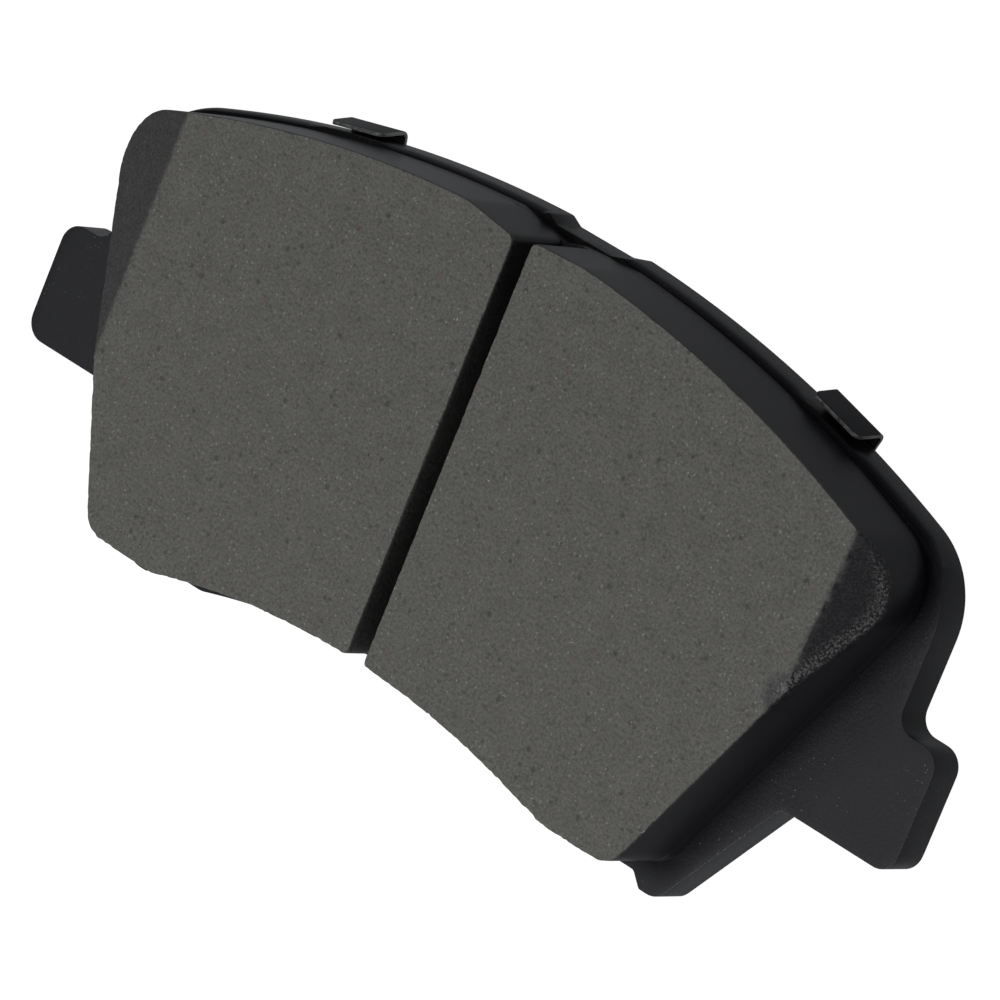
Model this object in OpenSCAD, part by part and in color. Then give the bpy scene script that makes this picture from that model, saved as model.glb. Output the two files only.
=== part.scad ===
// Disc brake pad: steel backing plate, bonded friction blocks and a clip-on shim.
// X runs along the pad, +Y points to the outer arc, +Z points to the friction face.
// The origin is the middle of the pad's outline, on the shim's outer face.

/* [Overall] */
// Length from ear end to ear end
overall_length = 150; // [125:1:180]
// Height of the outer arc's crown above the ears' lower edge
crown_height = 48.65; // [40:0.05:60]
// Depth of the plate between its outer and inner arcs
arc_depth = 60.15; // [50:0.05:73]
// Radius of the plate's outer arc
outer_radius = 180; // [150:1:220]

/* [Backing plate] */
// Thickness of the steel
plate_thickness = 5.1; // [4:0.1:7]
// How far each ear stands out from the plate's side
ear_reach = 7.3; // [5:0.1:10]
// Height of each ear
ear_height = 16; // [12:0.1:19.5]
// Corner radius of each ear
ear_corner = 2.8; // [1:0.1:4]
// Fillet between the ear's top and the plate's side
neck_fillet = 2.5; // [1:0.1:4]
// Radius of the plate's upper corners
shoulder_radius = 11.5; // [6:0.5:14]
// How far each lower lobe hangs below its foot
lobe_drop = 1.7; // [0.5:0.1:4]
// Corner radius of each lower lobe
lobe_corner = 2.8; // [1:0.1:3.5]
// Width of the floor of the recess in the outer edge
recess_width = 9; // [6:0.5:16]
// Depth of the recess in the outer edge
recess_depth = 0.9; // [0.4:0.1:2]
// Length of the ramp at the recess's left end
recess_ramp_left = 1.6; // [1:0.1:4]
// Length of the ramp at the recess's right end
recess_ramp_right = 2.6; // [1:0.1:4]
// Diameter of the holes that key the compound to the plate
key_hole = 11; // [8:0.5:14]
// Distance of the inner key holes from the middle
key_inner = 20; // [12:0.5:21]
// How far the outer key holes sit in from the blocks' ends
key_inset = 10; // [9:0.5:14]

/* [Friction blocks] */
// Thickness of the adhesive film on the plate
film_thickness = 0.2; // [0.1:0.05:0.4]
// Thickness of the underlayer, which is the floor of the slot
underlayer_thickness = 1.5; // [1:0.1:3]
// Height of the friction blocks above the underlayer
block_height = 9.9; // [6:0.1:13]
// Margin between the plate's crown and the blocks' outer arc
outer_margin = 0.5; // [0.3:0.1:3]
// Radius of the blocks' outer arc
block_arc_radius = 172; // [140:1:200]
// Margin between the plate's inner arc and the blocks
inner_margin = 2.2; // [1:0.1:4]
// Width of the slot between the blocks
slot_width = 2.8; // [2:0.1:5]
// How far the left block's outer edge dips at the slot
slot_dip_left = 1.1; // [0:0.1:2]
// How far the right block's outer edge dips at the slot
slot_dip_right = 0.4; // [0:0.1:2]
// Length of each dip along the outer edge
dip_length = 8.4; // [4:0.2:14]
// Sideways slope of each block's end, per unit of height
end_slope = 0.45; // [0.3:0.01:0.6]
// Radius of each block's upper corner
block_shoulder = 7.9; // [4:0.1:10]
// Radius of each block's lower corner
block_toe = 4; // [1:0.1:5]
// Slope of the left end chamfer, in degrees
left_chamfer_angle = 20; // [10:1:35]
// Distance of the left chamfer's inner line from the plate's side, at the ear's top
left_chamfer_reach = 13.5; // [8:0.5:18]
// Slope of the right end chamfer, in degrees
right_chamfer_angle = 41; // [25:1:50]
// Distance of the right chamfer's inner line from the plate's side, at the ear's top
right_chamfer_reach = 9; // [6:0.5:14]
// Turn of the right chamfer's inner line, in degrees: its top leans outwards
right_chamfer_turn = 3; // [0:0.5:5]

/* [Shim] */
// Thickness of the shim's adhesive
shim_adhesive_thickness = 0.1; // [0.05:0.05:0.2]
// Thickness of the inner steel sheet
inner_sheet_thickness = 0.3; // [0.2:0.05:0.5]
// Thickness of the rubber damping layer
damping_thickness = 0.1; // [0.05:0.05:0.3]
// Thickness of the outer steel sheet
outer_sheet_thickness = 0.5; // [0.3:0.05:0.8]
// Margin between the plate's edge and the shim
shim_margin = 1.6; // [1:0.1:3]
// Width of the folded tabs
tab_width = 8.6; // [5:0.1:12]
// Angle of the left upper tab from the middle, seen from the arcs' centre
tab_angle_left = 12.4; // [8:0.1:15]
// Angle of the right upper tab from the middle, seen from the arcs' centre
tab_angle_right = 13.6; // [8:0.1:15]
// How far the upper tabs reach forward of the plate's back
tab_reach = 4.3; // [2:0.1:5]
// Lean of the upper tabs towards the plate, in degrees
tab_lean = 8; // [0:1:12]
// Gap between the left upper tab's free edge and the plate's edge
tab_gap_left = 0.35; // [0.1:0.05:1]
// Gap between the right upper tab's free edge and the plate's edge
tab_gap_right = 0.75; // [0.1:0.05:1]

/* [Hidden] */
angle_step = 6;
arc_step = 1;
half_body = overall_length / 2 - ear_reach;
centre_y = crown_height - outer_radius;
inner_radius = outer_radius - arc_depth;

// Height of a circle about the arcs' common centre, at a distance x from the middle
function arc_y(r, x) = centre_y + sqrt(r * r - x * x);

recess_floor = crown_height - recess_depth;
foot_x = half_body - 33.7;
foot_y = arc_y(inner_radius, foot_x);
step_x = half_body - 26.3;
tip_x = half_body - 21.7;
tip_y = foot_y - lobe_drop;
root_x = half_body - 10.25;

shoulder_x = half_body - shoulder_radius;
shoulder_y = arc_y(outer_radius - shoulder_radius, shoulder_x);
shoulder_turn = atan2(shoulder_x, shoulder_y - centre_y);

block_centre_y = crown_height - outer_margin - block_arc_radius;
block_inner = inner_radius + inner_margin;
slot_half = slot_width / 2;
end_x = half_body - 16;
block_foot_y = foot_y + 2.43;
block_foot_x = sqrt(block_inner * block_inner - pow(block_foot_y - centre_y, 2));

// Centre of the block's upper corner: touches the outer arc and the sloping end
corner_k = end_x - block_shoulder * sqrt(1 + end_slope * end_slope) + end_slope * block_centre_y;
corner_a = 1 + end_slope * end_slope;
corner_b = 2 * end_slope * corner_k;
corner_c = corner_k * corner_k - pow(block_arc_radius - block_shoulder, 2);
corner_rise = (sqrt(corner_b * corner_b - 4 * corner_a * corner_c) - corner_b) / (2 * corner_a);
corner_x = corner_k + end_slope * corner_rise;
corner_y = block_centre_y + corner_rise;
corner_turn = atan2(corner_x, corner_rise);

z_damping = outer_sheet_thickness;
z_inner_sheet = z_damping + damping_thickness;
z_adhesive = z_inner_sheet + inner_sheet_thickness;
z_plate = z_adhesive + shim_adhesive_thickness;
z_film = z_plate + plate_thickness;
z_underlayer = z_film + film_thickness;
z_block = z_underlayer + underlayer_thickness;
z_face = z_block + block_height;

// The outline's middle, so that the origin sits under it
recess_top = arc_y(outer_radius, recess_width / 2 + min(recess_ramp_left, recess_ramp_right));
middle_y = (recess_top + tip_y) / 2;

key_radius = (outer_radius + inner_radius) / 2;
key_outer = end_x + end_slope * (crown_height - arc_depth / 2 - 6) - key_inset;
key_places = [-key_outer, -key_inner, key_inner, key_outer];

// Points along an arc
function arc_points(c, r, a0, a1, step) =
    let (n = max(2, ceil(abs(a1 - a0) / step)))
    [for (i = [0 : n]) c + r * [cos(a0 + (a1 - a0) * i / n), sin(a0 + (a1 - a0) * i / n)]];

// Points along an arc about the common centre, between two distances from the middle
function ring_points(r, x0, x1) =
    arc_points([0, centre_y], r, 90 - asin(x0 / r), 90 - asin(x1 / r), arc_step);

// A rounded corner at b, between the lines from a and to c
function corner_points(a, b, c, r) =
    let (
        u = (a - b) / norm(a - b),
        v = (c - b) / norm(c - b),
        h = acos(u * v) / 2,
        m = b + (u + v) / norm(u + v) * r / sin(h),
        p = b + u * r / tan(h) - m,
        q = b + v * r / tan(h) - m,
        a0 = atan2(p[1], p[0]),
        a1 = atan2(q[1], q[0]),
        sweep = (a1 - a0 + 540) % 360 - 180
    )
    arc_points(m, r, a0, a0 + sweep, angle_step);

// Rounds the inner points of an open path whose points are [x, y, radius]
function rounded(path) =
    [for (i = [0 : len(path) - 1])
        let (
            p = path[i],
            b = [p[0], p[1]],
            r = (i == 0 || i == len(path) - 1) ? 0 : p[2]
        )
        each r == 0 ? [b] : corner_points(
            [path[i - 1][0], path[i - 1][1]], b, [path[i + 1][0], path[i + 1][1]], r)];

// The mirror image of a right-hand half, in reverse and without its points on the middle line
function mirrored(half) =
    [for (i = [len(half) - 1 : -1 : 0]) if (half[i][0] > 0.001) [-half[i][0], half[i][1]]];

// Right-hand half of the plate's outline, from the crown round to the inner arc
function plate_half(ramp) = let (recess_end = recess_width / 2 + ramp) concat(
    rounded([
        [0, recess_floor],
        [recess_width / 2, recess_floor, 1],
        [recess_end, arc_y(outer_radius, recess_end), 0.8],
        [recess_end + 1, arc_y(outer_radius, recess_end + 1)]
    ]),
    ring_points(outer_radius, recess_end + 2.5, shoulder_x * outer_radius / (outer_radius - shoulder_radius)),
    arc_points([shoulder_x, shoulder_y], shoulder_radius, 87 - shoulder_turn, 0, angle_step),
    rounded([
        [half_body, shoulder_y - 1],
        [half_body, ear_height, neck_fillet],
        [overall_length / 2, ear_height, ear_corner],
        [overall_length / 2, 0, ear_corner],
        [root_x, 0, 1.5],
        [tip_x, tip_y, lobe_corner],
        [step_x + lobe_drop, tip_y, 0.6],
        [step_x, foot_y, 0.8],
        [foot_x, foot_y]
    ]),
    ring_points(inner_radius, foot_x - 1, 0)
);

// Height of the blocks' outer arc at a distance x from the middle
function block_top(x) = block_centre_y + sqrt(block_arc_radius * block_arc_radius - x * x);

// Right-hand half of the blocks' outline, from the slot round to the slot
function block_half(dip) = let (
    dip_x = slot_half + dip_length,
    join_x = corner_x * block_arc_radius / (block_arc_radius - block_shoulder)
) concat(
    [
        [slot_half, block_top(dip_x) - dip],
        [dip_x, block_top(dip_x)]
    ],
    arc_points([0, block_centre_y], block_arc_radius, 90 - asin((dip_x + 2) / block_arc_radius),
        90 - asin(join_x / block_arc_radius), arc_step),
    arc_points([corner_x, corner_y], block_shoulder, 87 - corner_turn, -atan(end_slope), angle_step),
    rounded([
        [end_x + end_slope * 20, 20],
        [end_x + end_slope * block_foot_y, block_foot_y, block_toe],
        [block_foot_x, block_foot_y, 0.8],
        [block_foot_x - 1.5, arc_y(block_inner, block_foot_x - 1.5)]
    ]),
    ring_points(block_inner, block_foot_x - 3, slot_half)
);

// The shim's edge, drawn in from the plate's edge by an extra inset
function shim_half(inset) =
    let (
        r = outer_radius - shim_margin - inset,
        side = half_body - 5 - inset,
        turn = 9 - inset,
        cx = side - turn,
        cy = arc_y(r - turn, cx)
    )
    concat(
        ring_points(r, 0, cx * r / (r - turn)),
        arc_points([cx, cy], turn, 87 - atan2(cx, cy - centre_y), 0, angle_step),
        rounded([
            [side, cy - 1],
            [side, 5, 3],
            [root_x - 0.9 - inset, 1.5 + inset, 3],
            [tip_x - 1.2 - inset, foot_y + 1.6 + inset, 3],
            [foot_x, foot_y + 1.6 + inset, 1],
            [foot_x - 2, arc_y(inner_radius + 1.5 + inset, foot_x - 2)]
        ]),
        ring_points(inner_radius + 1.5 + inset, foot_x - 4, 0)
    );

// Section of a folded tab: distance from the plate's edge, then height
function tab_section(gap_out, bend, lean, top) =
    let (
        t = outer_sheet_thickness,
        cx = gap_out - bend,
        n = [cos(lean), sin(lean)],
        d = [-sin(lean), cos(lean)],
        c = [cx, bend],
        s = (top - bend - bend * sin(lean)) / cos(lean),
        o = c + n * bend + d * s,
        i = o - n * t
    )
    concat(
        [[-7, 0]],
        arc_points(c, bend, -90, lean, 12),
        [o, i],
        arc_points(c, bend - t, lean, -90, 12),
        [[-7, t]]
    );

// A folded tab standing at the plate's outer edge, with rounded free corners
module tab(radius, section, top) {
    intersection() {
        translate([-tab_width / 2, radius, 0])
            rotate([90, 0, 90])
                linear_extrude(height = tab_width)
                    polygon(section);
        translate([0, radius + 5, 0])
            rotate([90, 0, 0])
                linear_extrude(height = 20)
                    polygon(rounded([
                        [-tab_width / 2, -1],
                        [-tab_width / 2, top, 1.2],
                        [tab_width / 2, top, 1.2],
                        [tab_width / 2, -1]
                    ]));
    }
}

// The wedge that an end chamfer removes, leaning down towards +X
module chamfer_wedge(reach, angle, turn) {
    translate([half_body - reach, ear_height, z_face])
        rotate([0, angle, -turn])
            translate([0, -150, 0])
                cube([80, 300, 40]);
}

module key_holes(height) {
    for (x = key_places)
        translate([x, arc_y(key_radius, x), 0])
            cylinder(h = height, d = key_hole, $fn = 48);
}

module plate_outline() {
    polygon(concat(plate_half(recess_ramp_right), mirrored(plate_half(recess_ramp_left))));
}

module blocks_outline() {
    polygon(concat(block_half(slot_dip_right), mirrored(block_half(slot_dip_left))));
}

module friction_half(dip) {
    translate([0, 0, z_block])
        linear_extrude(height = block_height)
            polygon(block_half(dip));
}

module backing_plate() {
    color([0.07, 0.07, 0.08])
        translate([0, -middle_y, z_plate])
            difference() {
                linear_extrude(height = plate_thickness)
                    plate_outline();
                translate([0, 0, -1])
                    key_holes(plate_thickness + 2);
            }
}

module bonding_film() {
    color([0.25, 0.2, 0.12])
        translate([0, -middle_y, z_film])
            difference() {
                linear_extrude(height = film_thickness)
                    blocks_outline();
                translate([0, 0, -1])
                    key_holes(film_thickness + 2);
            }
}

module underlayer() {
    color([0.11, 0.11, 0.11])
        translate([0, -middle_y, 0])
            union() {
                translate([0, 0, z_underlayer])
                    linear_extrude(height = underlayer_thickness)
                        blocks_outline();
                translate([0, 0, z_plate])
                    key_holes(plate_thickness + film_thickness + underlayer_thickness / 2);
            }
}

module friction_block_left() {
    color([0.3, 0.29, 0.27])
        translate([0, -middle_y, 0])
            mirror([1, 0, 0])
                difference() {
                    friction_half(slot_dip_left);
                    chamfer_wedge(left_chamfer_reach, left_chamfer_angle, 0);
                }
}

module friction_block_right() {
    color([0.3, 0.29, 0.27])
        translate([0, -middle_y, 0])
            difference() {
                friction_half(slot_dip_right);
                chamfer_wedge(right_chamfer_reach, right_chamfer_angle, right_chamfer_turn);
            }
}

module shim_layer(height, inset) {
    linear_extrude(height = height)
        polygon(concat(shim_half(inset), mirrored(shim_half(inset))));
}

module shim_adhesive() {
    color([0.75, 0.7, 0.5])
        translate([0, -middle_y, z_adhesive])
            shim_layer(shim_adhesive_thickness, 0.6);
}

module shim_inner_sheet() {
    color([0.6, 0.6, 0.62])
        translate([0, -middle_y, z_inner_sheet])
            shim_layer(inner_sheet_thickness, 0.3);
}

module shim_damping_layer() {
    color([0.1, 0.1, 0.1])
        translate([0, -middle_y, z_damping])
            shim_layer(damping_thickness, 0.3);
}

module shim_outer_sheet() {
    top = z_plate + tab_reach;
    fold_out = outer_sheet_thickness + (top - 1) * tan(tab_lean);
    lower = tab_section(outer_sheet_thickness + 0.12, outer_sheet_thickness + 0.3, 0, top - 1);
    color([0.16, 0.16, 0.17])
        translate([0, -middle_y, 0])
            union() {
                shim_layer(outer_sheet_thickness, 0);
                translate([0, centre_y, 0])
                    for (place = [[-tab_angle_right, tab_gap_right], [tab_angle_left, tab_gap_left]])
                        rotate([0, 0, place[0]])
                            tab(outer_radius, tab_section(place[1] + fold_out, 2 * outer_sheet_thickness,
                                tab_lean, top), top);
                translate([0, centre_y + inner_radius, 0])
                    rotate([0, 0, 180])
                        tab(0, lower, top - 1);
            }
}

backing_plate();
bonding_film();
underlayer();
friction_block_left();
friction_block_right();
shim_adhesive();
shim_inner_sheet();
shim_damping_layer();
shim_outer_sheet();
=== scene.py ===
# %% [markdown]
# # A disc brake pad
# A brake pad is a stack. A blanked steel plate carries two blocks of friction compound, and a thin
# steel shim is clipped to its back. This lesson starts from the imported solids, which have the right
# sizes, and gives each visible piece its real surface: pressed and ground compound with chipped
# edges, powder coat, and bare cut steel.
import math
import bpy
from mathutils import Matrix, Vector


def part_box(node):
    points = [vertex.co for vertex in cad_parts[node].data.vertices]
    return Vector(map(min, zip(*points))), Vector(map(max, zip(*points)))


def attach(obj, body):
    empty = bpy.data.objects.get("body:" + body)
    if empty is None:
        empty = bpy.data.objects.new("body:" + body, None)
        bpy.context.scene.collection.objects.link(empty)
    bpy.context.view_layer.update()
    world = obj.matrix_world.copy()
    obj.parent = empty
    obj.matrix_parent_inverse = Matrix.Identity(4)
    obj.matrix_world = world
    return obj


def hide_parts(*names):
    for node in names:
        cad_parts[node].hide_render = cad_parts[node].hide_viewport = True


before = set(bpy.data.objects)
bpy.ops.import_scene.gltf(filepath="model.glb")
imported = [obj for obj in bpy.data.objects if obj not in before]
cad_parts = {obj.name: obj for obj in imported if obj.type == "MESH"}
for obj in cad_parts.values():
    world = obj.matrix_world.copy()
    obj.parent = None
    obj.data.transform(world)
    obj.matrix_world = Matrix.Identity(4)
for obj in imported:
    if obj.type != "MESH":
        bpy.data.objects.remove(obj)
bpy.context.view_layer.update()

# %% Tools that every cell uses
from types import SimpleNamespace

import bpy
import bmesh
import numpy as np
from mathutils import Matrix, Vector, noise
from mathutils.geometry import delaunay_2d_cdt

MM = 0.001

# %% [markdown]
# ## Camera, floor and light
# A long lens from about a metre away keeps the pad's edges nearly parallel, as in a catalogue
# picture. A camera can be aimed with a Track To constraint, but here its tilt matters too, so it is
# placed by three unit vectors: its right, its up, and the way back from the pad to the lens.

# %% Camera
right = Vector((0.70797, 0.36471, -0.60478)).normalized()
back = Vector((0.55449, 0.24331, 0.79583)).normalized()
up = back.cross(right).normalized()
right = up.cross(back)
lens_at = (0.56060, 0.24372, 0.80633)
camera = bpy.data.objects.new("camera", bpy.data.cameras.new("camera"))
camera.data.lens = 297.6
camera.data.sensor_width = 36.0
camera.data.clip_start = 0.05
camera.matrix_world = Matrix((
    (right.x, up.x, back.x, lens_at[0]),
    (right.y, up.y, back.y, lens_at[1]),
    (right.z, up.z, back.z, lens_at[2]),
    (0, 0, 0, 1)))
bpy.context.collection.objects.link(camera)
bpy.context.scene.camera = camera
print("camera is", round(camera.location.length, 3), "m from the pad")

# %% [markdown]
# ## Helpers for materials
# A procedural finish is a small web of nodes. Built by hand in the editor it can't be read as a
# recipe, so the helpers below write it as one line for each step. `add` makes a node and sets its
# inputs: a value is set on the socket, and a socket is linked to it. `grain` is soft noise of a real
# size, and `specks` are scattered dots.

# %% Node helpers
def add(tree, kind, out=0, settings=None, **inputs):
    made = tree.nodes.new(kind)
    for key, value in (settings or {}).items():
        setattr(made, key, value)
    for key, value in inputs.items():
        name = key.replace("_", " ")
        socket = made.inputs[int(name[1:])] if name[0] == "i" and name[1:].isdigit() else made.inputs[name]
        if isinstance(value, bpy.types.NodeSocket):
            tree.links.new(value, socket)
        else:
            socket.default_value = value
    return made.outputs[out] if made.outputs else None


def new_material(name):
    made = bpy.data.materials.new(name)
    made.use_nodes = True
    made.node_tree.nodes.clear()
    return made, made.node_tree


def maths(tree, kind, a, b=0.0, c=0.0, clamp=False):
    return add(tree, "ShaderNodeMath", settings={"operation": kind, "use_clamp": clamp}, i0=a, i1=b, i2=c)


def spread(tree, value, low, high, to_low=0.0, to_high=1.0):
    """Stretches low..high to to_low..to_high, and holds the ends."""
    return add(tree, "ShaderNodeMapRange", Value=value, From_Min=low, From_Max=high,
               To_Min=to_low, To_Max=to_high)


def mix_colour(tree, factor, a, b):
    made = tree.nodes.new("ShaderNodeMix")
    made.data_type = "RGBA"
    for socket, value in ((made.inputs[0], factor), (made.inputs[6], a), (made.inputs[7], b)):
        if isinstance(value, bpy.types.NodeSocket):
            tree.links.new(value, socket)
        else:
            socket.default_value = value
    return made.outputs[2]


def grain(tree, size_mm, detail=2.0, rough=0.5):
    place = add(tree, "ShaderNodeTexCoord", out=3)
    return add(tree, "ShaderNodeTexNoise", Vector=place, Scale=1 / (size_mm * MM), Detail=detail,
               Roughness=rough)


def specks(tree, spacing_mm, radius, share, seed=0.0):
    """1 inside scattered round specks: radius is a share of their spacing, share is how many show."""
    place = add(tree, "ShaderNodeTexCoord", out=3)
    moved = add(tree, "ShaderNodeMapping", Vector=place, Location=(seed * 0.013, seed * 0.007, seed * 0.003))
    cells = tree.nodes.new("ShaderNodeTexVoronoi")
    cells.inputs["Scale"].default_value = 1 / (spacing_mm * MM)
    tree.links.new(moved, cells.inputs["Vector"])
    near = spread(tree, cells.outputs["Distance"], radius, radius * 0.55)
    pick = add(tree, "ShaderNodeSeparateColor", Color=cells.outputs["Color"])
    chosen = maths(tree, "GREATER_THAN", pick, 1 - share)
    return maths(tree, "MULTIPLY", near, chosen, clamp=True)


def finish_surface(tree, colour, roughness, height, depth_mm, metallic=0.0, specular=0.5):
    bump = add(tree, "ShaderNodeBump", Height=height, Distance=depth_mm * MM, Strength=1.0)
    shader = add(tree, "ShaderNodeBsdfPrincipled", Base_Color=colour, Roughness=roughness, Normal=bump,
                 Metallic=metallic, Specular_IOR_Level=specular)
    add(tree, "ShaderNodeOutputMaterial", Surface=shader)


print("each finish has a bump, a Principled shader and an output")

# %% [markdown]
# ## The floor
# The floor is a plain pale sheet. A backdrop in a studio is lit on its own, so that it looks white and
# still gives little light back. A Light Path node does the same: the lens sees a bright sheet, and the
# pad sees a quiet one, which glows a little more at the pad's left end.

# %% Floor
FLOOR_HALF = 6
FLOOR_DROP = 0.2 * MM
corners = [(-FLOOR_HALF, -FLOOR_HALF, 0), (FLOOR_HALF, -FLOOR_HALF, 0), (FLOOR_HALF, FLOOR_HALF, 0),
           (-FLOOR_HALF, FLOOR_HALF, 0)]
floor_mesh = bpy.data.meshes.new("floor")
floor_mesh.from_pydata(corners, [], [(0, 1, 2, 3)])
floor = bpy.data.objects.new("floor", floor_mesh)
floor.location.z = -FLOOR_DROP
bpy.context.collection.objects.link(floor)
floor_material, tree = new_material("pale_floor")


def glowing(matt, glow, strength):
    """A matt surface that also gives light."""
    mixed = tree.nodes.new("ShaderNodeAddShader")
    tree.links.new(add(tree, "ShaderNodeBsdfDiffuse", Color=matt), mixed.inputs[0])
    tree.links.new(add(tree, "ShaderNodeEmission", Color=glow, Strength=strength), mixed.inputs[1])
    return mixed.outputs[0]


along = add(tree, "ShaderNodeSeparateXYZ", Vector=add(tree, "ShaderNodeTexCoord", out=3))
for_pad = glowing((0.14, 0.14, 0.145, 1), (0.96, 0.98, 1, 1), spread(tree, along, -0.06, 0.02, 0.22, 0.135))
for_lens = glowing((0.12, 0.12, 0.12, 1), (1, 1, 1, 1), 1.0)
chosen = tree.nodes.new("ShaderNodeMixShader")
for link, socket in ((add(tree, "ShaderNodeLightPath"), 0), (for_pad, 1), (for_lens, 2)):
    tree.links.new(link, chosen.inputs[socket])
add(tree, "ShaderNodeOutputMaterial", Surface=chosen.outputs[0])
floor_mesh.materials.append(floor_material)
print("floor is", 2 * FLOOR_HALF, "m wide")

# %% [markdown]
# ## The light
# Black paint shows mostly what it reflects, so the lamps are large and soft. One wide box overhead
# lights the ground faces and the top walls, and a smaller lamp on the inner arc's side lifts the ears
# and the walls that turn away. A faint cool sky fills the rest.

# %% Light
SKY_COLOUR, SKY_STRENGTH = (0.95, 0.97, 1.0, 1), 0.12
world = bpy.data.worlds.new("studio")
bpy.context.scene.world = world
world.use_nodes = True
sky = world.node_tree.nodes["Background"]
sky.inputs["Color"].default_value = SKY_COLOUR
sky.inputs["Strength"].default_value = SKY_STRENGTH


def soft_lamp(name, at, aim, size, watts):
    lamp = bpy.data.objects.new(name, bpy.data.lights.new(name, "AREA"))
    lamp.data.shape = "SQUARE"
    lamp.data.size = size
    lamp.data.energy = watts
    lamp.location = at
    lamp.rotation_euler = (Vector(aim) - Vector(at)).to_track_quat("-Z", "Y").to_euler()
    bpy.context.collection.objects.link(lamp)


soft_lamp("overhead_box", at=(-0.35, -0.15, 1.2), aim=(-0.35, -0.15, 0), size=1.6, watts=2.85)
soft_lamp("side_lamp", at=(0.0, -0.70, 0.68), aim=(0, 0, 0), size=0.5, watts=5.0)
bpy.context.scene.view_settings.view_transform = "Standard"

# %% [markdown]
# ## Outlines from the solids
# Each solid already holds its true outline, so nothing is measured twice. A copy of the solid is
# merged, the faces of its lowest or highest plane are kept, and the edges that belong to only one of
# them are joined into loops. The longest loop is the piece's outline.

# %% Read an outline
def welded(node):
    """A copy of the node's solid with its doubled points merged."""
    copy = bmesh.new()
    copy.from_mesh(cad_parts[node].data)
    bmesh.ops.remove_doubles(copy, verts=copy.verts, dist=1e-6)
    copy.verts.index_update()
    copy.faces.index_update()
    return copy


def outline_of(node, side="low"):
    solid = welded(node)
    heights = [v.co.z for v in solid.verts]
    level = min(heights) if side == "low" else max(heights)
    flat = {f.index: f for f in solid.faces if all(abs(v.co.z - level) < 2e-6 for v in f.verts)}
    after = {}
    for face in flat.values():
        for loop in face.loops:
            if sum(1 for f in loop.edge.link_faces if f.index in flat) == 1:
                after[loop.vert.index] = loop.link_loop_next.vert.index
    spots = {v.index: (v.co.x, v.co.y) for v in solid.verts}
    solid.free()
    loops = []
    while after:
        start, at = next(iter(after.items()))
        run = [start]
        del after[start]
        while at in after:
            run.append(at)
            at = after.pop(at)
        loops.append(np.array([spots[i] for i in run]))
    ring = max(loops, key=len_round)
    area = np.sum(ring[:, 0] * np.roll(ring[:, 1], -1) - ring[:, 1] * np.roll(ring[:, 0], -1))
    return ring if area > 0 else ring[::-1]


def len_round(ring):
    return float(np.sum(np.hypot(*(np.roll(ring, -1, 0) - ring).T)))


def stepped(ring, step):
    """The same outline with a point at least every step."""
    out = []
    for a, b in zip(ring, np.roll(ring, -1, 0)):
        n = max(1, math.ceil(math.hypot(*(b - a)) / step))
        out += [a + (b - a) * i / n for i in range(n)]
    return np.array(out)


def eased(ring, rounds=8):
    """The outline with its small facets smoothed away; sharp corners round off a little."""
    for _ in range(rounds):
        ring = ring * 0.5 + (np.roll(ring, 1, 0) + np.roll(ring, -1, 0)) * 0.25
    return ring


def outward(ring):
    """The unit vector that points out of the outline at each of its points."""
    ahead = np.roll(ring, -1, 0) - ring
    ahead /= np.maximum(np.hypot(*ahead.T), 1e-12)[:, None]
    both_ways = ahead + np.roll(ahead, 1, 0)
    both_ways /= np.maximum(np.hypot(*both_ways.T), 1e-9)[:, None]
    return np.stack([both_ways[:, 1], -both_ways[:, 0]], 1)


plate_ring = outline_of("backing_plate")
print("plate outline:", len(plate_ring), "points,", round(len_round(plate_ring) / MM, 1), "mm round")

# %% [markdown]
# ## Building blocks for shells
# The compound and the plate are both an outline with a wall and a flat top. An extruded curve would
# give that too, but with a top of one big face, which can't ripple or carry painted values. So `shell`
# joins rings of points into a wall, and `fill` covers the last ring with small triangles.

# %% Walls and caps
def inside(points, ring):
    """True for each point that lies within the ring."""
    hit = np.zeros(len(points), bool)
    x, y = points[:, 0], points[:, 1]
    for (x1, y1), (x2, y2) in zip(ring, np.roll(ring, -1, 0)):
        crosses = (y1 > y) != (y2 > y)
        hit ^= crosses & (x < (x2 - x1) * (y - y1) / (y2 - y1 + 1e-18) + x1)
    return hit


def near_gap(points, ring):
    """How far each point is from the nearest point of the ring."""
    gap = np.empty(len(points))
    for part in np.array_split(np.arange(len(points)), max(1, len(points) // 2000)):
        across = points[part, None, 0] - ring[None, :, 0]
        along = points[part, None, 1] - ring[None, :, 1]
        gap[part] = np.hypot(across, along).min(1)
    return gap


def fill(ring, step, extra=()):
    """Points and triangles that cover the ring, with extra points where a crease has to run."""
    low, high = ring.min(0), ring.max(0)
    xs = np.arange(low[0], high[0], step)
    ys = np.arange(low[1], high[1], step * 0.866)
    grid = np.array([(x + (step / 2 if j % 2 else 0), y) for j, y in enumerate(ys) for x in xs])
    grid = grid[inside(grid, ring)]
    grid = grid[near_gap(grid, ring) > step * 0.7]
    if len(extra):
        extra = np.array(extra)
        extra = extra[inside(extra, ring)]
        extra = extra[near_gap(extra, ring) > step * 0.5]
        grid = np.concatenate([grid[near_gap(grid, extra) > step * 0.6], extra])
    spots = [Vector(p) for p in np.concatenate([ring, grid])]
    edges = [(i, (i + 1) % len(ring)) for i in range(len(ring))]
    made, _, faces, *_ = delaunay_2d_cdt(spots, edges, [], 1, 1e-9)
    return np.array([tuple(v) for v in made]), [tuple(f) for f in faces]


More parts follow.
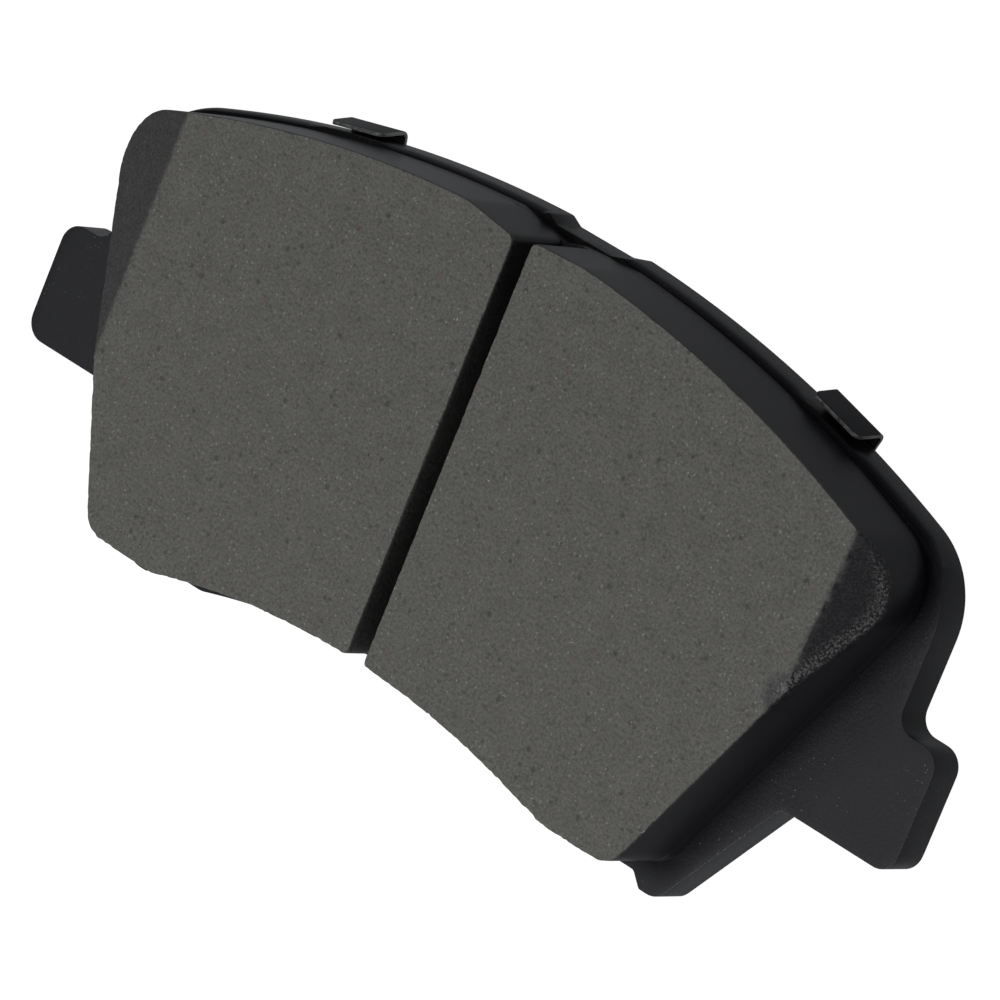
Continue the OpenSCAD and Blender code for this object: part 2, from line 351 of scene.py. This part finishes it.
def shell(name, rings, top_spots, top_faces, top_z):
    """A closed piece from rings of (points, heights), the last of them the edge of the filled top."""
    n = len(rings[0][0])
    spots, faces = [], []
    for points, z in rings:
        spots += [(p[0], p[1], h) for p, h in zip(points, np.broadcast_to(z, n))]
    for k in range(len(rings) - 1):
        for i in range(n):
            j = (i + 1) % n
            faces.append((k * n + i, k * n + j, (k + 1) * n + j, (k + 1) * n + i))
    faces.append(tuple(range(n - 1, -1, -1)))
    base = (len(rings) - 1) * n
    spots += [(p[0], p[1], h) for p, h in zip(top_spots[n:], top_z[n:])]
    faces += [tuple(base + i for i in f) for f in top_faces]
    mesh = bpy.data.meshes.new(name)
    mesh.from_pydata(spots, [], faces)
    mesh.shade_smooth()
    mesh.validate()
    made = bpy.data.objects.new(name, mesh)
    bpy.context.collection.objects.link(made)
    return made


def wander(points, size_mm, seed):
    """Smooth random values from -1 to 1 that drift over size_mm."""
    return np.array([noise.fractal(Vector((p[0], p[1], seed * 0.01)) / (size_mm * MM), 1.0, 2.0, 3)
                     for p in points])


def points_of(obj):
    at = np.empty(len(obj.data.vertices) * 3)
    obj.data.vertices.foreach_get("co", at)
    return at.reshape(-1, 3)


print("a test fill of the plate:", len(fill(plate_ring, 6 * MM)[1]), "triangles")

# %% [markdown]
# ## The friction compound
# The blocks are pressed from fibre, resin and grit, coated black with the plate, and then ground flat.
# Grinding opens the face: it turns grey-brown, fibres and grains show, and the rim chips. The walls
# keep their smooth black coat. One material does it all, led by values painted on the mesh. The first
# says how far the coat is ground away; on the left chamfer it also carries painted light, and on the
# slot walls painted shade. The second marks rims painted light grey, as wear and as a painted
# highlight. A third lowers the gloss of the walls that turn away from the lamps, as painted shade.

# %% Compound material
compound, tree = new_material("friction_compound")
# The first painted value: grey where the coat is ground away, plus painted light on the left chamfer and
# painted shade on the slot walls.
ground = add(tree, "ShaderNodeAttribute", out=2, settings={"attribute_name": "ground"})
worn = add(tree, "ShaderNodeAttribute", out=2, settings={"attribute_name": "worn"})
fine = grain(tree, 0.42, 4.0, 0.65)
broad = grain(tree, 3.5, 3.0)
tone = maths(tree, "MULTIPLY", spread(tree, fine, 0.3, 0.7, 0.70, 1.26),
             spread(tree, broad, 0.3, 0.7, 0.93, 1.07))
body = add(tree, "ShaderNodeVectorMath", settings={"operation": "SCALE"}, Scale=tone,
           i0=(0.143, 0.141, 0.129))
# Each grain: spacing in mm, radius and share as in specks, seed, strength, colour.
GRAINS = (
    (1.3, 0.30, 0.30, 1, 0.45, (0.070, 0.068, 0.066)),   # rubber crumb
    (2.1, 0.22, 0.25, 2, 0.60, (0.045, 0.045, 0.046)),   # graphite
    (2.3, 0.20, 0.30, 3, 0.40, (0.16, 0.095, 0.075)),    # rust-red filler
    (0.50, 0.30, 0.35, 4, 0.45, (0.26, 0.255, 0.235)),   # mineral powder
    (0.75, 0.24, 0.30, 5, 0.60, (0.34, 0.335, 0.31)),    # cut fibre ends
    # Metal flakes, their glints painted in as light specks: painted highlights.
    (1.9, 0.085, 0.22, 6, 0.55, (0.45, 0.445, 0.42)),    # bright flakes
)
for spacing, radius, share, seed, strength, tint in GRAINS:
    dots = maths(tree, "MULTIPLY", specks(tree, spacing, radius, share, seed), strength)
    body = mix_colour(tree, dots, body, tint + (1,))
coat = mix_colour(tree, specks(tree, 1.6, 0.10, 0.10, 6), (0.0122, 0.0125, 0.0160, 1), (0.05, 0.05, 0.052, 1))
ragged = maths(tree, "MULTIPLY", ground, spread(tree, fine, 0.3, 0.7, 0.80, 1.20), clamp=True)
colour = mix_colour(tree, ragged, coat, body)
# Rims painted light grey: wear, and a painted highlight along the rims.
rim_wear_and_highlight = maths(tree, "MULTIPLY", worn, spread(tree, grain(tree, 0.32, 3.0, 0.7), 0.46, 0.62), clamp=True)
colour = mix_colour(tree, rim_wear_and_highlight, colour, (0.180, 0.180, 0.176, 1))
open_face = maths(tree, "MAXIMUM", ground, rim_wear_and_highlight)
roughness = spread(tree, open_face, 0.0, 1.0, 0.32, 0.78)
# Painted shade: where the painted value is set, the gloss drops, so the walls that turn away from the lamps
# go darker.
dull = add(tree, "ShaderNodeAttribute", out=2, settings={"attribute_name": "dull"})
gloss = spread(tree, dull, 0.0, 1.0, 0.45, 0.08)
ripple = maths(tree, "MULTIPLY", fine, spread(tree, open_face, 0.0, 1.0, 0.15, 1.0))
pits = maths(tree, "MULTIPLY", specks(tree, 1.3, 0.30, 0.30, 1), maths(tree, "MULTIPLY", open_face, -0.7))
finish_surface(tree, colour, roughness, maths(tree, "ADD", ripple, pits), 0.06, specular=gloss)
print(compound.name, "has", len(tree.nodes), "nodes")

# %% [markdown]
# ## The shape of a block
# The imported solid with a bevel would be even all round, and pressed compound is not. So each block is
# its outline with a wall that stays true up to the last millimetre. There the rim steps in by a small
# random amount, more where grinding tears the edge: along the inner arc and at the slot. The top is a
# fine sheet of triangles that follows the ground face and the end chamfer.

# %% Face and chamfer
FACE_DROP = 0.03 * MM
SCUFF_REACH = 3.4 * MM


def chamfer_of(node):
    """The chamfer's plane as (slope along x, slope along y, height at the origin)."""
    solid = welded(node)
    tilted = [f for f in solid.faces if 0.2 < f.normal.z < 0.98]
    widest = max(tilted, key=lambda f: f.calc_area())
    n, p = widest.normal.copy(), widest.verts[0].co.copy()
    solid.free()
    return -n.x / n.z, -n.y / n.z, p.dot(n) / n.z


class BlockTop:
    """The face left flat by grinding and the end chamfer of one block, and the corner where both meet the
    crown.
    """

    def __init__(self, node, ring, scuff_mm):
        self.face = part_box(node)[1][2] - FACE_DROP
        self.along_x, self.along_y, self.lift = chamfer_of(node)
        self.lift -= FACE_DROP
        self.scuff = scuff_mm * MM
        off_crease = np.abs(self.over_chamfer(ring)) + np.where(ring[:, 1] > 0, 0, 1)
        self.corner = ring[np.argmin(off_crease)]

    def over_chamfer(self, points):
        """How far the flat face stands above the chamfer's plane: positive outside the crease."""
        return self.face - (self.along_x * points[:, 0] + self.along_y * points[:, 1] + self.lift)

    def to_corner(self, points):
        return np.hypot(*(points[:, :2] - self.corner).T)

    def height(self, points):
        scuffed = self.scuff * np.maximum(0, 1 - self.to_corner(points) / SCUFF_REACH) ** 2
        return self.face - np.maximum(0, self.over_chamfer(points)) - scuffed

    def crease(self, low_y, high_y, seed):
        """Points along the line between face and chamfer, which wavers a little."""
        points = []
        for y in np.arange(low_y, high_y, 0.42 * MM):
            straight = (self.face - self.lift - self.along_y * y) / self.along_x
            points.append((straight + 0.14 * MM * noise.noise(Vector((y / MM / 1.3, seed, 0))), y))
        return points


for node in ("friction_block_left", "friction_block_right"):
    slope = math.degrees(math.atan(math.hypot(*chamfer_of(node)[:2])))
    print(node, "has a chamfer of", round(slope, 1), "degrees")

# %% Torn rim and block mesh
WALL_RINGS = 7


def torn_back(ring, out, seed):
    """How far the rim has broken back at each point of the outline."""
    tear = np.maximum(0, wander(ring, 0.9, seed)) * 0.22 * MM
    tear += np.maximum(0, wander(ring, 3.0, seed + 5) - 0.22) * 0.40 * MM
    at_slot = np.abs(ring[:, 0]) < 2.2 * MM
    on_inner_arc = out[:, 1] < -0.75
    on_crown = out[:, 1] > 0.8
    return tear * np.where(at_slot, 0.5, np.where(on_inner_arc, 0.9, np.where(on_crown, 0.25, 0.6)))


def block_mesh(name, node, top, ring, out, seed):
    low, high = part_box(node)
    tear = torn_back(ring, out, seed)
    rim = top.height(ring)
    wall = rim - low[2]
    none = np.zeros(len(ring))
    steps = ((none, low[2]), (none, low[2] + 0.12 * MM), (none, low[2] + wall * 0.35),
             (none, low[2] + wall * 0.7), (0.2 * tear, rim - 0.75 * MM),
             (0.01 * MM + 0.5 * tear, rim - 0.33 * MM), (0.03 * MM + 0.9 * tear, rim - 0.10 * MM))
    rings = [(ring - out * step_in[:, None], z) for step_in, z in steps]
    edge = ring - out * (0.09 * MM + 1.1 * tear)[:, None]
    spots, faces = fill(edge, 0.62 * MM, top.crease(low[1], high[1], seed))
    z = top.height(spots) + wander(spots, 0.9, seed + 9) * 0.014 * MM
    z -= np.maximum(0, wander(spots, 2.2, seed + 13) - 0.42) * 0.16 * MM
    z = np.minimum(z, top.face + 0.015 * MM)
    rings.append((edge, z[:len(edge)]))
    return shell(name, rings, spots, faces, z)


print("a block's wall has", WALL_RINGS, "rings below its top edge")

# %% [markdown]
# ## What is painted on a block
# Edge wear and the rims' painted highlight could come from a Pointiness node, but that can't tell a
# torn rim from a coated one. The script knows where each point lies, so it works out the values itself
# and stores them as point attributes, which the compound's nodes read by name.

# %% Values for each point of a block
def build_block(name, node, coat_left, seed, scuff=0.0):
    ring = eased(stepped(outline_of(node), 0.45 * MM), 4)
    out = outward(ring)
    top = BlockTop(node, ring, scuff)
    piece = block_mesh(name, node, top, ring, out, seed)
    at = points_of(piece)
    n, walls = len(ring), WALL_RINGS * len(ring)
    crease_shift = (0.12 if scuff else -0.05) * MM + wander(at, 1.0, seed + 17) * 0.07 * MM
    on_chamfer = np.clip((top.over_chamfer(at) + crease_shift) / (0.24 * MM) + 0.4, 0, 1)
    # On a chamfer the grey share is given for each block: on the left block it is painted light for the light
    # the chamfer catches.
    ground = 1 - on_chamfer * (1 - coat_left)
    to_corner = top.to_corner(at) + wander(at, 0.8, seed + 3) * 0.4 * MM
    if scuff:
        ground *= np.clip(0.25 + (to_corner / MM - 2.2) * 0.9, 0.25, 1)
    ground[walls - n:walls] *= 0.85
    side = at[:walls - n]
    floor_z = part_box(node)[0][2]
    climb = (side[:, 2] - floor_z) / (top.height(ring) - floor_z).max()
    to_crown = np.clip((side[:, 1] / MM - 8.0) / 22.0, 0, 1)
    # The slot walls show the grey of the saw cut, painted darker down the wall and towards the crown end:
    # painted shade in the slot.
    saw_cut_and_slot_shade = (0.06 + 0.50 * climb) * (1 - 0.75 * to_crown)
    ground[:walls - n] = np.where(np.abs(side[:, 0]) < 2.0 * MM, saw_cut_and_slot_shade, 0)
    rim_gap = near_gap(at, ring) / MM
    rim_gap[:walls] = 0
    # The top rings of the wall are painted light grey: wear, and a painted highlight on the rim.
    top_rim_wear_and_highlight = np.zeros(len(at))
    top_rim_wear_and_highlight[walls - 2 * n:walls] = 0.55
    # The walls that turn away from the lamps, which get painted shade.
    turned_away = np.clip((out[:, 0] - 0.45) * 3, 0, 1) * np.clip((0.35 - out[:, 1]) * 3, 0, 1)
    shaded_walls = np.zeros(len(at))
    shaded_walls[:walls] = np.tile(turned_away, WALL_RINGS)
    return SimpleNamespace(piece=piece, at=at, ground=ground, on_chamfer=on_chamfer, rim_gap=rim_gap,
                           to_corner=to_corner, top_rim_wear_and_highlight=top_rim_wear_and_highlight, shaded_walls=shaded_walls)


def paint(piece, **values):
    for key, value in values.items():
        layer = piece.data.attributes.new(key, "FLOAT", "POINT")
        layer.data.foreach_set("value", np.clip(value, 0, 1).astype(np.float32))
    piece.data.set_sharp_from_angle(angle=math.radians(38))


print("values for a block: ground, worn, dull")

# %% [markdown]
# ## The left block
# Its chamfer is shallow, and a thin grey painted over its black stands for the light it catches: painted
# light.

# %% Left block
left = build_block("compound_block_left", "friction_block_left", coat_left=0.27, seed=3)
paint(left.piece, ground=left.ground, dull=np.zeros(len(left.at)),
      worn=left.on_chamfer * np.where(left.rim_gap > 0, 0.22, 0) + left.top_rim_wear_and_highlight)
left.piece.data.materials.append(compound)
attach(left.piece, "root")
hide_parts("friction_block_left")
print("left block:", len(left.piece.data.polygons), "faces")

# %% [markdown]
# ## The right block
# Its chamfer is steeper and was cut before coating, so it stays nearly black. Its lower rim is painted
# light grey in a band that thins out upwards, as wear and as a painted highlight, and the corner where
# it meets the crown is scuffed round and grey.

# %% Right block
other = build_block("compound_block_right", "friction_block_right", coat_left=0.06, seed=8, scuff=0.30)
# A light grey band on the lower chamfer rim and a grey cap at the crown corner: wear, and a painted
# highlight.
band = np.clip(1.45 - other.rim_gap / 1.2, 0, 1) * np.clip((21.5 - other.at[:, 1] / MM) / 4.0, 0, 1)
cap = np.clip(1.3 - other.to_corner / (2.4 * MM), 0, 1)
chamfer_wear_and_highlight = other.on_chamfer * np.maximum(band, 0.14) + cap * 0.7
# The right block's turned-away walls get painted shade.
paint(other.piece, ground=other.ground, dull=other.shaded_walls * 0.75,
      worn=np.where(other.rim_gap > 0, chamfer_wear_and_highlight, other.top_rim_wear_and_highlight))
other.piece.data.materials.append(compound)
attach(other.piece, "root")
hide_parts("friction_block_right")
print("right block:", len(other.piece.data.polygons), "faces")

# %% [markdown]
# ## Fibres in the ground face
# Short steel and mineral fibres lie in the face by the thousand. Placed by hand they would take a week
# and drawn in the material they would have no edge to catch the light, so they are scattered with
# Geometry Nodes: points on a thin carrier sheet, a bent fibre on each point with its own turn and
# size, then Realize Instances and Set Material, so that the result is a plain mesh.

# %% Fibre material
fibre_shine, tree = new_material("bare_fibre")
shade = spread(tree, grain(tree, 0.9, 1.0), 0.38, 0.70)
finish_surface(tree, mix_colour(tree, shade, (0.22, 0.217, 0.203, 1), (0.60, 0.595, 0.565, 1)), 0.5,
               grain(tree, 0.15), 0.01)
print(fibre_shine.name, "has", len(tree.nodes), "nodes")

# %% Scatter tree
def scatter_tree():
    tree = bpy.data.node_groups.new("scatter_fibres", "GeometryNodeTree")
    face = tree.interface
    face.new_socket("Geometry", in_out="INPUT", socket_type="NodeSocketGeometry")
    for name, kind, value in (("Per square metre", "NodeSocketFloat", 2e5),
                              ("Fibre radius", "NodeSocketFloat", 0.7 * MM),
                              ("Fibre thickness", "NodeSocketFloat", 0.04 * MM),
                              ("Bends", "NodeSocketInt", 6), ("Seed", "NodeSocketInt", 1)):
        face.new_socket(name, in_out="INPUT", socket_type=kind).default_value = value
    face.new_socket("Finish", in_out="INPUT", socket_type="NodeSocketMaterial")
    face.new_socket("Geometry", in_out="OUTPUT", socket_type="NodeSocketGeometry")
    given = tree.nodes.new("NodeGroupInput").outputs
    points = tree.nodes.new("GeometryNodeDistributePointsOnFaces")
    tree.links.new(given["Geometry"], points.inputs["Mesh"])
    tree.links.new(given["Per square metre"], points.inputs["Density"])
    tree.links.new(given["Seed"], points.inputs["Seed"])
    bow = tree.nodes.new("GeometryNodeCurveArc")
    tree.links.new(given["Bends"], bow.inputs["Resolution"])
    bow.inputs["Sweep Angle"].default_value = 1.5
    tree.links.new(given["Fibre radius"], bow.inputs["Radius"])
    section = tree.nodes.new("GeometryNodeCurvePrimitiveCircle")
    section.inputs["Resolution"].default_value = 3
    tree.links.new(given["Fibre thickness"], section.inputs["Radius"])
    rod = tree.nodes.new("GeometryNodeCurveToMesh")
    tree.links.new(bow.outputs["Curve"], rod.inputs["Curve"])
    tree.links.new(section.outputs["Curve"], rod.inputs["Profile Curve"])
    rod.inputs["Fill Caps"].default_value = True
    turn = tree.nodes.new("FunctionNodeRandomValue")
    turn.data_type = "FLOAT_VECTOR"
    turn.inputs[0].default_value = (-0.012, -0.012, 0.0)
    turn.inputs[1].default_value = (0.012, 0.012, 6.283)
    tree.links.new(given["Seed"], turn.inputs["Seed"])
    size = tree.nodes.new("FunctionNodeRandomValue")
    size.inputs[2].default_value = 0.35
    size.inputs[3].default_value = 1.1
    tree.links.new(given["Seed"], size.inputs["Seed"])
    put = tree.nodes.new("GeometryNodeInstanceOnPoints")
    tree.links.new(points.outputs["Points"], put.inputs["Points"])
    tree.links.new(rod.outputs["Mesh"], put.inputs["Instance"])
    tree.links.new(turn.outputs[0], put.inputs["Rotation"])
    tree.links.new(size.outputs[1], put.inputs["Scale"])
    real = tree.nodes.new("GeometryNodeRealizeInstances")
    tree.links.new(put.outputs["Instances"], real.inputs["Geometry"])
    dress = tree.nodes.new("GeometryNodeSetMaterial")
    tree.links.new(real.outputs["Geometry"], dress.inputs["Geometry"])
    tree.links.new(given["Finish"], dress.inputs["Material"])
    tree.links.new(dress.outputs["Geometry"], tree.nodes.new("NodeGroupOutput").inputs["Geometry"])
    return tree


scatter = scatter_tree()
print("scatter tree has", len(scatter.nodes), "nodes")

# %% [markdown]
# A modifier's inputs are set by the identifier of each socket, before the carrier is first evaluated.
# The carrier is the block's own outline, drawn in a little so that no fibre hangs over the rim, and
# lowered so that each fibre shows only its upper side.

# %% Apply a tree and keep a plain mesh
def grown(name, carrier, tree, **inputs):
    modifier = carrier.modifiers.new("grow", "NODES")
    modifier.node_group = tree
    for item in tree.interface.items_tree:
        key = item.name.replace(" ", "_")
        if item.in_out == "INPUT" and key in inputs:
            modifier[item.identifier] = inputs[key]
    bpy.context.view_layer.update()
    ready = carrier.evaluated_get(bpy.context.evaluated_depsgraph_get())
    mesh = bpy.data.meshes.new_from_object(ready)
    carrier.modifiers.remove(modifier)
    bpy.data.objects.remove(carrier)
    mesh.name = name
    made = bpy.data.objects.new(name, mesh)
    bpy.context.collection.objects.link(made)
    return made


def carrier_sheet(node, inset, depth):
    """A flat sheet in the shape of the block's face, a little below it."""
    ring = outline_of(node, "high")
    ring = ring - outward(ring) * inset
    mesh = bpy.data.meshes.new("carrier")
    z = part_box(node)[1][2] - depth
    mesh.from_pydata([(x, y, z) for x, y in ring], [], [tuple(range(len(ring)))])
    sheet = bpy.data.objects.new("carrier", mesh)
    bpy.context.collection.objects.link(sheet)
    return sheet


# Each kind: how many on a square metre, then bow radius and thickness in mm, and bends.
KINDS = (("long", 1.3e5, 0.70, 0.055, 6), ("short", 1.3e6, 0.27, 0.072, 3))
for side, seed in (("left", 11), ("right", 23)):
    for kind, count, radius, thick, bends in KINDS:
        sheet = carrier_sheet("friction_block_" + side, inset=0.7 * MM, depth=(thick + 0.022) * MM)
        fibres = grown("face_fibres_" + kind + "_" + side, sheet, scatter, Per_square_metre=count,
                       Fibre_radius=radius * MM, Fibre_thickness=thick * MM, Bends=bends,
                       Seed=seed + bends, Finish=fibre_shine)
        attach(fibres, "root")
        print(fibres.name, len(fibres.data.polygons), "faces")

# %% [markdown]
# ## Powder coat
# The plate is sprayed with powder and baked. The coat is black, with a fine orange peel, and pad dust
# lies on it in patches. One noise drives both the roughness and the bump, so that the sheen breaks
# where the surface does. A painted point value darkens the coat and lowers its gloss: painted shade
# along the foot of each block, and a painted dark reflection on the plate's rolled edge.

# %% Powder coat
DUST, CHIP = (0.16, 0.16, 0.155, 1), (0.25, 0.25, 0.24, 1)


def powder_coat(name, base, dust, rough=0.33):
    made, tree = new_material(name)
    peel = grain(tree, 0.40, 3.0, 0.6)
    patch = grain(tree, 9.0, 2.0)
    lighter = tuple(v * 1.25 for v in base) + (1,)
    colour = mix_colour(tree, spread(tree, patch, 0.35, 0.65), tuple(base) + (1,), lighter)
    dusty = spread(tree, patch, 0.47, 0.62)
    dust_here = maths(tree, "MULTIPLY", specks(tree, 0.60, 0.20, 0.35, 7), dusty, clamp=True)
    colour = mix_colour(tree, maths(tree, "MULTIPLY", dust_here, dust), colour, DUST)
    colour = mix_colour(tree, specks(tree, 6.5, 0.045, 0.35, 9), colour, CHIP)
    film = maths(tree, "MULTIPLY", spread(tree, grain(tree, 0.22, 2.0), 0.52, 0.70), dust * 0.05, clamp=True)
    colour = mix_colour(tree, film, colour, (0.16, 0.16, 0.16, 1))
    dull = add(tree, "ShaderNodeAttribute", out=2, settings={"attribute_name": "dull"})
    # Painted shade: where the painted value is set, the coat is darkened and its gloss lowered.
    colour = mix_colour(tree, maths(tree, "MULTIPLY", dull, 0.5), colour, (0.002, 0.002, 0.0035, 1))
    roughness = spread(tree, peel, 0.3, 0.7, rough - 0.045, rough + 0.045)
    finish_surface(tree, colour, roughness, peel, 0.022, specular=spread(tree, dull, 0.0, 1.0, 0.5, 0.12))
    return made


plate_paint = powder_coat("black_powder_coat", (0.0112, 0.0115, 0.0150), dust=0.9)
print(plate_paint.name, "has", len(plate_paint.node_tree.nodes), "nodes")

# %% [markdown]
# ## The backing plate
# The plate is blanked from thick strip. The punch draws the front edge down in a soft roll, deepest
# along the outer arc, and leaves the back edge nearly square. A Bevel modifier has one width for all
# edges, so the rings below follow the edge from back to front instead, with a width of their own at
# each point. The recess in the crown is cut later and stays crisp, and the roll is shallow where the
# shim's two tabs hook over the edge.

# %% Where the plate's edge rolls
RECESS_HALF = 7.2 * MM
TAB_MARGIN, TAB_BLEND = 2.3 * MM, 2.5 * MM
low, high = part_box("backing_plate")
ring = eased(stepped(plate_ring, 0.5 * MM), 2)
out = outward(ring)
in_recess = np.clip((RECESS_HALF - np.abs(ring[:, 0])) / MM, 0, 1) * (ring[:, 1] > 25 * MM)
roll = np.clip((out[:, 1] - 0.55) / 0.35, 0, 1) * (ring[:, 1] > 18 * MM) * (1 - in_recess)
sheet = welded("shim_outer_sheet")
for side in (-1, 1):
    tab = [v.co.x for v in sheet.verts if v.co.z > low[2] + MM and v.co.y > 0 and v.co.x * side > 0]
    middle, half = (max(tab) + min(tab)) / 2, (max(tab) - min(tab)) / 2
    to_tab = np.abs(ring[:, 0] - middle)
    roll = roll * (1 - 0.85 * np.clip((half + TAB_MARGIN - to_tab) / TAB_BLEND, 0, 1))
sheet.free()
print("the edge rolls at", int(np.sum(roll > 0.5)), "of", len(ring), "points")

# %% Plate
ROLL_IN, ROLL_DEEP, ROLL_RINGS = 0.65, 2.06, 8
roll_in = (0.07 + ROLL_IN * roll) * MM
roll_deep = (0.10 + ROLL_DEEP * roll) * MM
rings = [(ring - out * 0.16 * MM, low[2]), (ring - out * 0.05 * MM, low[2] + 0.05 * MM),
         (ring, low[2] + 0.18 * MM)]
for turn in np.radians(np.linspace(0, 90, ROLL_RINGS)):
    rings.append((ring - out * (roll_in * (1 - math.cos(turn)))[:, None],
                  high[2] - roll_deep * (1 - math.sin(turn))))
spots, faces = fill(rings[-1][0], 1.1 * MM)
plate = shell("plate_with_rolled_edge", rings, spots, faces, np.full(len(spots), high[2]))

# %% Painted shade on the plate's coat
ROLL_SHADE = (0, 0, 0, 0, 0.3, 0.8, 1, 1, 1, 1, 1)
at = points_of(plate)
feet = [stepped(outline_of("friction_block_" + side), 0.5 * MM) for side in ("left", "right")]
to_foot = near_gap(at, np.concatenate(feet))
# Painted shade within about 2.7 mm of each block's foot, where the block shades the plate.
dulled = np.clip(1.15 - to_foot / (2.7 * MM), 0, 1) * (at[:, 2] > high[2] - MM)
# Painted dark reflection on the front rings of the rolled edge.
on_roll = np.tile(roll, len(rings)) * np.repeat(ROLL_SHADE, len(ring))
dulled[:len(on_roll)] = np.maximum(dulled[:len(on_roll)], on_roll)
paint(plate, dull=dulled)
plate.data.materials.append(plate_paint)
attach(plate, "root")
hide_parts("backing_plate")
print("plate:", len(plate.data.polygons), "faces")

# %% [markdown]
# ## The shim
# The shim is punched from coated sheet, so its faces are satin black and its cut edges are bare. The
# solid's shape is right as it is. A copy of it is merged and bevelled a little, because no real edge is
# sharp, and each face that runs through the sheet's thickness gets the bare finish.

# %% Shim materials
shim_paint = powder_coat("shim_coating", (0.0112, 0.0115, 0.0145), dust=0.15, rough=0.46)
cut_steel, tree = new_material("bare_cut_edge")
drawn = add(tree, "ShaderNodeMapping", Scale=(1.0, 1.0, 0.25), Vector=add(tree, "ShaderNodeTexCoord", out=3))
streak = add(tree, "ShaderNodeTexNoise", Scale=1400.0, Detail=3.0, Vector=drawn)
colour = mix_colour(tree, spread(tree, streak, 0.35, 0.65), (0.19, 0.19, 0.19, 1), (0.56, 0.56, 0.55, 1))
finish_surface(tree, colour, spread(tree, streak, 0.3, 0.7, 0.35, 0.6), streak, 0.01, metallic=0.4)
print("shim finishes:", shim_paint.name, "and", cut_steel.name)

# %% Shim sheet with tabs
solid = welded("shim_outer_sheet")
bmesh.ops.dissolve_limit(solid, angle_limit=math.radians(2), verts=solid.verts, edges=solid.edges)
shim_mesh = bpy.data.meshes.new("shim_sheet")
solid.to_mesh(shim_mesh)
solid.free()
shim = bpy.data.objects.new("shim_sheet", shim_mesh)
bpy.context.collection.objects.link(shim)
soften = shim.modifiers.new("soften", "BEVEL")
soften.width = 0.07 * MM
soften.segments = 2
soften.limit_method = "ANGLE"
soften.angle_limit = math.radians(32)
ready = shim.evaluated_get(bpy.context.evaluated_depsgraph_get())
shim.data = bpy.data.meshes.new_from_object(ready)
shim.modifiers.clear()
shim.data.shade_smooth()
shim.data.materials.clear()
shim.data.materials.append(shim_paint)
shim.data.materials.append(cut_steel)

# %% Bare cut edges
OUTER_RADIUS = 180 * MM
TAB_FOOT, SHEET_TOP = 0.6 * MM, 0.45 * MM
arc_middle_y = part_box("backing_plate")[1][1] - OUTER_RADIUS
bare = 0
for face in shim.data.polygons:
    c, n = face.center, face.normal
    if c.z > TAB_FOOT:
        out_way = Vector((c.x, c.y - arc_middle_y, 0)).normalized()
        side_way = Vector((out_way.y, -out_way.x, 0))
        cut = abs(n.dot(side_way)) > 0.75 or n.z > 0.6
    else:
        cut = abs(n.z) < 0.3 and c.z < SHEET_TOP
    face.material_index = 1 if cut else 0
    bare += cut
shim.data.set_sharp_from_angle(angle=math.radians(40))
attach(shim, "root")
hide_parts("shim_outer_sheet")
print("shim:", len(shim.data.polygons), "faces,", bare, "of them bare")

# %% [markdown]
# ## Layers that keep their solids
# The underlayer, the glue lines and the shim's inner layers are thin and nearly hidden. Their solids
# have the right shape already, so they only get a finish of their own: cured adhesive and rubber are
# matt, and the inner sheet is bare rolled steel.

# %% Layer finishes
def plain_layer(name, base, rough, size_mm, depth_mm, metallic=0.0):
    made, tree = new_material(name)
    texture = grain(tree, size_mm, 3.0)
    darker, lighter = (tuple(v * share for v in base) + (1,) for share in (0.8, 1.2))
    colour = mix_colour(tree, spread(tree, texture, 0.3, 0.7), darker, lighter)
    roughness = spread(tree, texture, 0.3, 0.7, rough - 0.06, rough + 0.06)
    finish_surface(tree, colour, roughness, texture, depth_mm, metallic=metallic)
    return made


finishes = {
    "underlayer": plain_layer("underlayer_compound", (0.0112, 0.0115, 0.0148), 0.36, 0.5, 0.02),
    "bonding_film": plain_layer("cured_adhesive", (0.0108, 0.0106, 0.0118), 0.40, 0.4, 0.02),
    "shim_adhesive": plain_layer("shim_glue", (0.20, 0.17, 0.11), 0.6, 0.5, 0.02),
    "shim_inner_sheet": plain_layer("shim_inner_steel", (0.30, 0.30, 0.31), 0.38, 0.3, 0.005, 0.9),
    "shim_damping_layer": plain_layer("shim_rubber", (0.02, 0.02, 0.02), 0.7, 0.3, 0.02),
}
for node, made in finishes.items():
    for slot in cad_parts[node].material_slots:
        slot.material = made
print("finished layers:", list(finishes))
